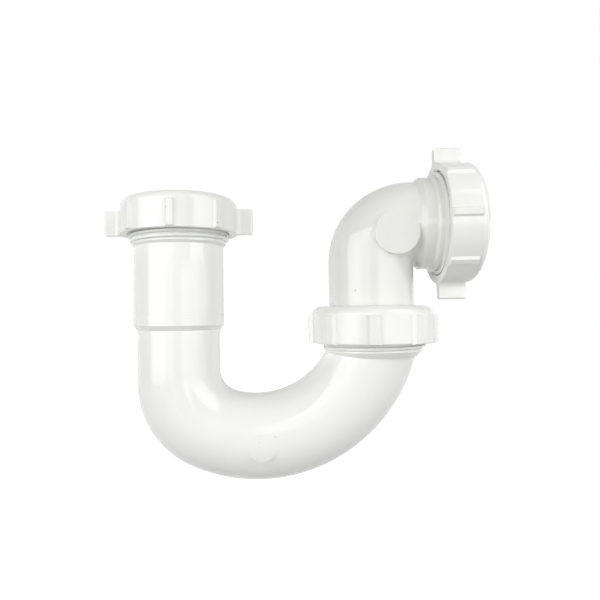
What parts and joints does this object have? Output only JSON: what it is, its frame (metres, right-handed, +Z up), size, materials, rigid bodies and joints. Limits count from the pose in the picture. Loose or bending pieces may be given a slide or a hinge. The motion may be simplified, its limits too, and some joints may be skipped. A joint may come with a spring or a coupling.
{
  "type": "repair trap",
  "caption": "Tubular plastic repair P-trap: U-bend with a deep slip inlet, swivelling elbow, ribbed union nut and winged slip nuts.",
  "frame": {"origin": "on the axis of the inlet socket, where its straight bore starts below the tapered mouth", "axes": "+Z up along the inlet, the way the tailpiece leaves; +X along the outlet, towards the wall"},
  "size_m": [0.1705, 0.0574, 0.1496],
  "materials": {
    "pipe": "gloss white moulded plastic",
    "nut": "gloss white moulded plastic",
    "washer": "plain soft plastic seal"
  },
  "bodies": {
    "bend": {"inlet_socket": "pipe", "j_bend": "pipe", "union_end": "pipe"},
    "elbow": {"trap_elbow": "pipe", "outlet_socket": "pipe"},
    "union_seal": {"union_washer": "washer"},
    "union_ring": {"union_nut": "nut"},
    "inlet_seal": {"inlet_washer": "washer"},
    "inlet_ring": {"inlet_slip_nut": "nut"},
    "outlet_seal": {"outlet_washer": "washer"},
    "outlet_ring": {"outlet_slip_nut": "nut"}
  },
  "joints": [
    {"name": "elbow_swivel", "type": "hinge", "parent": "bend", "child": "elbow", "pos_m": [0.0891, 0, -0.04807], "axis": [0, 0, 1], "continuous": true},
    {"name": "union_nut_travel", "type": "slide", "parent": "bend", "child": "union_seal", "axis": [0, 0, 1], "range_m": [0, 0.00663]},
    {"name": "union_nut_turn", "type": "hinge", "parent": "union_seal", "child": "union_ring", "pos_m": [0.0891, 0, -0.04807], "axis": [0, 0, 1], "range_deg": [0, 1080]},
    {"name": "inlet_nut_travel", "type": "slide", "parent": "bend", "child": "inlet_seal", "axis": [0, 0, 1], "range_m": [0, 0.00663]},
    {"name": "inlet_nut_turn", "type": "hinge", "parent": "inlet_seal", "child": "inlet_ring", "pos_m": [0, 0, 0.0028], "axis": [0, 0, 1], "range_deg": [0, 1080]},
    {"name": "outlet_nut_travel", "type": "slide", "parent": "elbow", "child": "outlet_seal", "axis": [1, 0, 0], "range_m": [0, 0.00663]},
    {"name": "outlet_nut_turn", "type": "hinge", "parent": "outlet_seal", "child": "outlet_ring", "pos_m": [0.12815, 0, -0.00308], "axis": [1, 0, 0], "range_deg": [0, 1080]}
  ],
  "couplings": [
    {"joint": "union_nut_travel", "follows": "union_nut_turn", "m_per_rad": 0.00035152},
    {"joint": "inlet_nut_travel", "follows": "inlet_nut_turn", "m_per_rad": 0.00035152},
    {"joint": "outlet_nut_travel", "follows": "outlet_nut_turn", "m_per_rad": 0.00035152}
  ]
}
